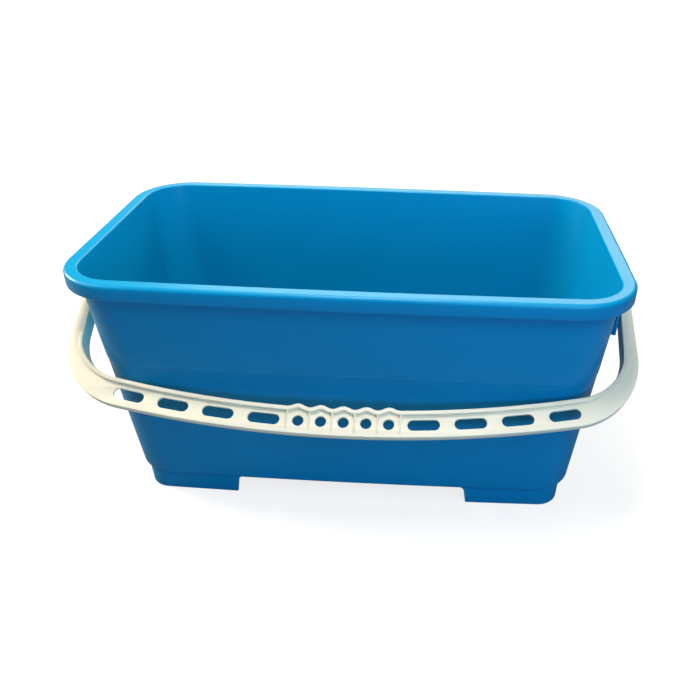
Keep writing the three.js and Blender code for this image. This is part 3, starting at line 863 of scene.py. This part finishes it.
tub_plastic = moulded_plastic(
    "tub plastic", TUB_BLUE, TUB_BLUE_WORN,
    roughness=0.33, specular=0.17, grain=0.00002, wear=0.4,
    Grain_Scale=1100.0, Wave_Scale=14.0, Wave_Share=0.3,
)
handle_plastic = moulded_plastic(
    "handle plastic", HANDLE_CREAM, HANDLE_CREAM_SOILED,
    roughness=0.42, specular=0.4, grain=0.00003, wear=0.2,
    Grain_Scale=1300.0, Wave_Scale=30.0, Wave_Share=0.5,
)


# The pieces, each on its own body

def stand_for(node, piece):
    """Puts a piece on the body of a CAD node, and hides the node that it stands in for."""
    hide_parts(node)
    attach(piece, node)


def make_tub():
    pieces = [finish_piece("tub_shell", tub_shell(), TUB_PLACE, tub_plastic)]
    for label, side in (("left", -1), ("right", 1)):
        pieces.append(finish_piece(f"foot_{label}", foot(side), TUB_PLACE, tub_plastic))
        for part, shape, place in ear_pieces(side):
            name = f"ear_{part}_{label}"
            pieces.append(finish_piece(name, shape, TUB_PLACE @ place, tub_plastic))
    for piece in pieces:
        stand_for("tub", piece)


def make_handle():
    web_place = HANDLE_PLACE @ Matrix.Translation((0, 0, WEB_FRONT - WEB_THICKNESS / 2))
    lip = band(inner_edge, 1, inner_section)
    flange = band(outer_edge, -1, outer_section)
    pieces = [
        finish_piece("handle_web", web(), web_place, handle_plastic),
        finish_piece("handle_lip", lip, HANDLE_PLACE, handle_plastic),
        finish_piece("handle_flange", flange, HANDLE_PLACE, handle_plastic),
    ]
    for i in range(GRIP_HOLES + 1):
        x = (i - GRIP_HOLES / 2) * GRIP_PITCH
        place = HANDLE_PLACE @ Matrix.Translation((x, 0, 0)) @ ACROSS
        pieces.append(finish_piece(f"grip_rib_{i + 1}", rib(x), place, handle_plastic))
    for label, side in (("left", -1), ("right", 1)):
        shape, head_end = pivot_end()
        mirror = Matrix.Diagonal((side, 1, 1, 1))
        end = finish_piece(f"pivot_{label}", shape, HANDLE_PLACE @ mirror, handle_plastic)
        cut_slit(end, head_end, side)
        pieces.append(end)
    for piece in pieces:
        stand_for("handle", piece)


make_tub()
make_handle()


# Stage, lights and camera

def make_floor():
    """A wide grey floor that keeps the bucket's shadow, and that the camera sees as white."""
    half = FLOOR_HALF_WIDTH
    mesh = bpy.data.meshes.new("floor")
    corners = [(-half, -half, 0), (half, -half, 0), (half, half, 0), (-half, half, 0)]
    mesh.from_pydata(corners, [], [(0, 1, 2, 3)])
    floor = bpy.data.objects.new("floor", mesh)
    bpy.context.scene.collection.objects.link(floor)
    material = bpy.data.materials.new("floor")
    material.use_nodes = True
    shader = material.node_tree.nodes["Principled BSDF"]
    shader.inputs["Base Color"].default_value = (*FLOOR_GREY, 1)
    shader.inputs["Roughness"].default_value = 1.0
    shader.inputs["Specular IOR Level"].default_value = 0.0
    tree = material.node_tree
    place = add(tree, "ShaderNodeTexCoord")
    distance = add(tree, "ShaderNodeVectorMath", operation="LENGTH")
    lift = ramp(tree, SHADOW_REACH, WHITE_REACH)
    lift.inputs["To Min"].default_value = FLOOR_LIFT
    path = add(tree, "ShaderNodeLightPath")
    seen = add(tree, "ShaderNodeMath", operation="MULTIPLY")
    shader.inputs["Emission Color"].default_value = (1, 1, 1, 1)
    link(tree, place.outputs["Object"], distance.inputs[0])
    link(tree, distance.outputs["Value"], lift.inputs["Value"])
    link(tree, lift.outputs["Result"], seen.inputs[0])
    link(tree, path.outputs["Is Camera Ray"], seen.inputs[1])
    link(tree, seen.outputs[0], shader.inputs["Emission Strength"])
    mesh.materials.append(material)


def make_lamp(name, place, strength, colour, width, height=None):
    """An area lamp that shines at the bucket: a disk, or a rectangle if it has a height."""
    data = bpy.data.lights.new(name, "AREA")
    towards = Vector(LAMP_TARGET) - Vector(place)
    data.energy = strength * math.pi ** 2 * towards.length_squared
    data.color = colour
    data.shape = "RECTANGLE" if height else "DISK"
    data.size = width
    if height:
        data.size_y = height
    light = bpy.data.objects.new(name, data)
    light.location = place
    light.rotation_euler = towards.to_track_quat("-Z", "Y").to_euler()
    bpy.context.scene.collection.objects.link(light)


def make_world():
    """A weak even surround. It is white to the camera and to rays that pass through."""
    world = bpy.data.worlds.new("studio")
    world.use_nodes = True
    tree = world.node_tree
    background = tree.nodes["Background"]
    background.inputs["Color"].default_value = (1, 1, 1, 1)
    path = add(tree, "ShaderNodeLightPath")
    seen = add(tree, "ShaderNodeMath", operation="ADD", use_clamp=True)
    strength = add(tree, "ShaderNodeMix", data_type="FLOAT")
    strength.inputs[2].default_value = WORLD_STRENGTH
    strength.inputs[3].default_value = 1.0
    link(tree, path.outputs["Is Camera Ray"], seen.inputs[0])
    link(tree, path.outputs["Is Transmission Ray"], seen.inputs[1])
    link(tree, seen.outputs[0], strength.inputs[0])
    link(tree, strength.outputs[0], background.inputs["Strength"])
    bpy.context.scene.world = world


def make_camera():
    data = bpy.data.cameras.new("camera")
    data.sensor_width = SENSOR_MM
    data.lens = SENSOR_MM * FOCAL_PIXELS / IMAGE_SIDE
    data.shift_x = -PRINCIPAL_PIXELS[0] / IMAGE_SIDE
    data.shift_y = PRINCIPAL_PIXELS[1] / IMAGE_SIDE
    data.clip_start = CLIP_START
    camera = bpy.data.objects.new("camera", data)
    yaw, pitch, roll = CAMERA_YAW, CAMERA_PITCH, CAMERA_ROLL
    ahead = Vector((
        math.sin(yaw) * math.cos(pitch), math.cos(yaw) * math.cos(pitch), -math.sin(pitch),
    ))
    level = Vector((math.cos(yaw), -math.sin(yaw), 0))
    rise = level.cross(ahead)
    right = math.cos(roll) * level + math.sin(roll) * rise
    up = -math.sin(roll) * level + math.cos(roll) * rise
    place = Vector(CAMERA_FROM_TUB) + Vector((0, TUB_MIDDLE_Y * METRES, 0))
    camera.matrix_world = (
        Matrix.Translation(place) @ Matrix((right, up, -ahead)).transposed().to_4x4()
    )
    bpy.context.scene.collection.objects.link(camera)
    bpy.context.scene.camera = camera


make_floor()
make_world()
for lamp in LAMPS:
    make_lamp(*lamp)
make_camera()
bpy.context.scene.view_settings.view_transform = "Standard"
